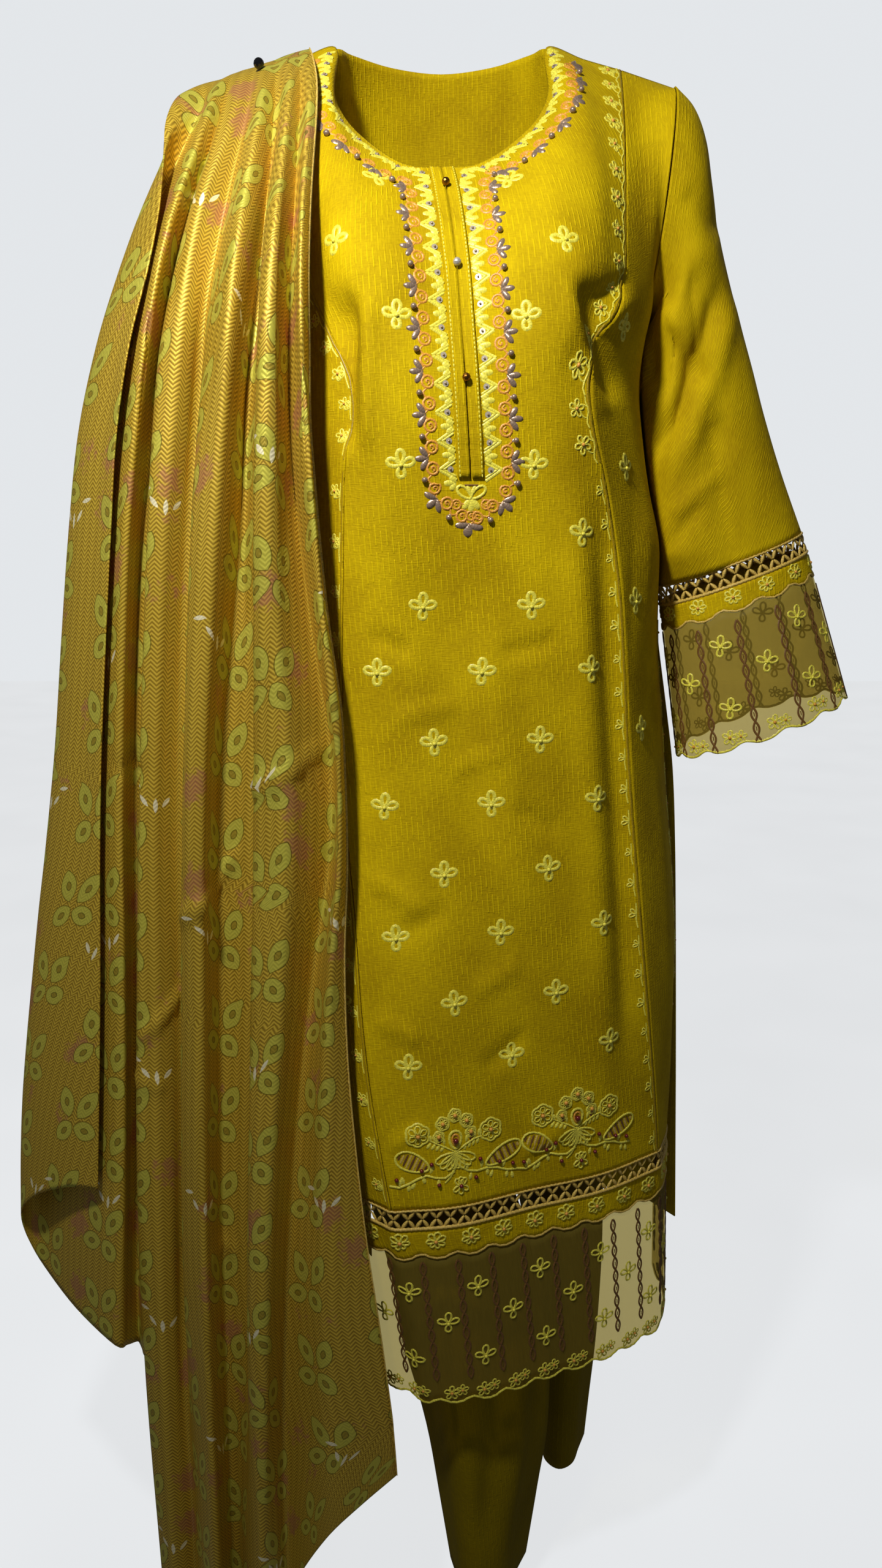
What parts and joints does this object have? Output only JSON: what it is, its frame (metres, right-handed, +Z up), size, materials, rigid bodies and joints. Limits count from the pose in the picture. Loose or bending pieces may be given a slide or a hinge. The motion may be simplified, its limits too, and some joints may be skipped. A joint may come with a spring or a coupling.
{
  "type": "salwar kameez suit",
  "caption": "Worn salwar kameez suit: long embroidered kameez with open placket, cutwork and organza borders, straight trousers and a pleated satin dupatta pinned at the shoulder.",
  "frame": {"origin": "between the two neck points of the kameez, level with the shoulder seams, where the wearer's shoulders hold the suit up", "axes": "+Z up, +X towards the wearer's left, -Y towards the wearer's front"},
  "size_m": [0.7346, 0.4166, 1.3431],
  "materials": {
    "cambric": "mustard-olive slub cambric with soft sheen",
    "trouser_cambric": "plain mustard-olive slub cambric",
    "cutwork_lace": "beige-gold cutwork lace",
    "organza": "sheer khaki organza with braid and embroidery",
    "satin": "printed antique-gold satin",
    "bead": "antique metal button",
    "pin_head": "black pin head"
  },
  "bodies": {
    "root": {"kameez_centre_front": "cambric", "kameez_side_front_left": "cambric", "kameez_side_front_right": "cambric", "kameez_back": "cambric", "placket_strip_left": "cambric", "placket_strip_right": "cambric", "placket_button_1": "bead", "placket_button_2": "bead", "placket_button_3": "bead", "hem_cutwork_band": "cutwork_lace", "hem_scalloped_band": "cambric", "hem_organza": "organza", "sleeve_left": "cambric", "sleeve_right": "cambric", "sleeve_left_cutwork_front": "cutwork_lace", "sleeve_left_cutwork_back": "cutwork_lace", "sleeve_left_scalloped_band": "cambric", "sleeve_left_organza": "organza", "trouser_front_left": "trouser_cambric", "trouser_back_left": "trouser_cambric", "sleeve_right_cutwork_front": "cutwork_lace", "sleeve_right_cutwork_back": "cutwork_lace", "sleeve_right_scalloped_band": "cambric", "sleeve_right_organza": "organza", "trouser_front_right": "trouser_cambric", "trouser_back_right": "trouser_cambric", "trouser_waistband": "trouser_cambric", "dupatta_front_fall": "satin", "dupatta_back_fall": "satin", "dupatta_pin_head": "pin_head"}
  },
  "joints": []
}
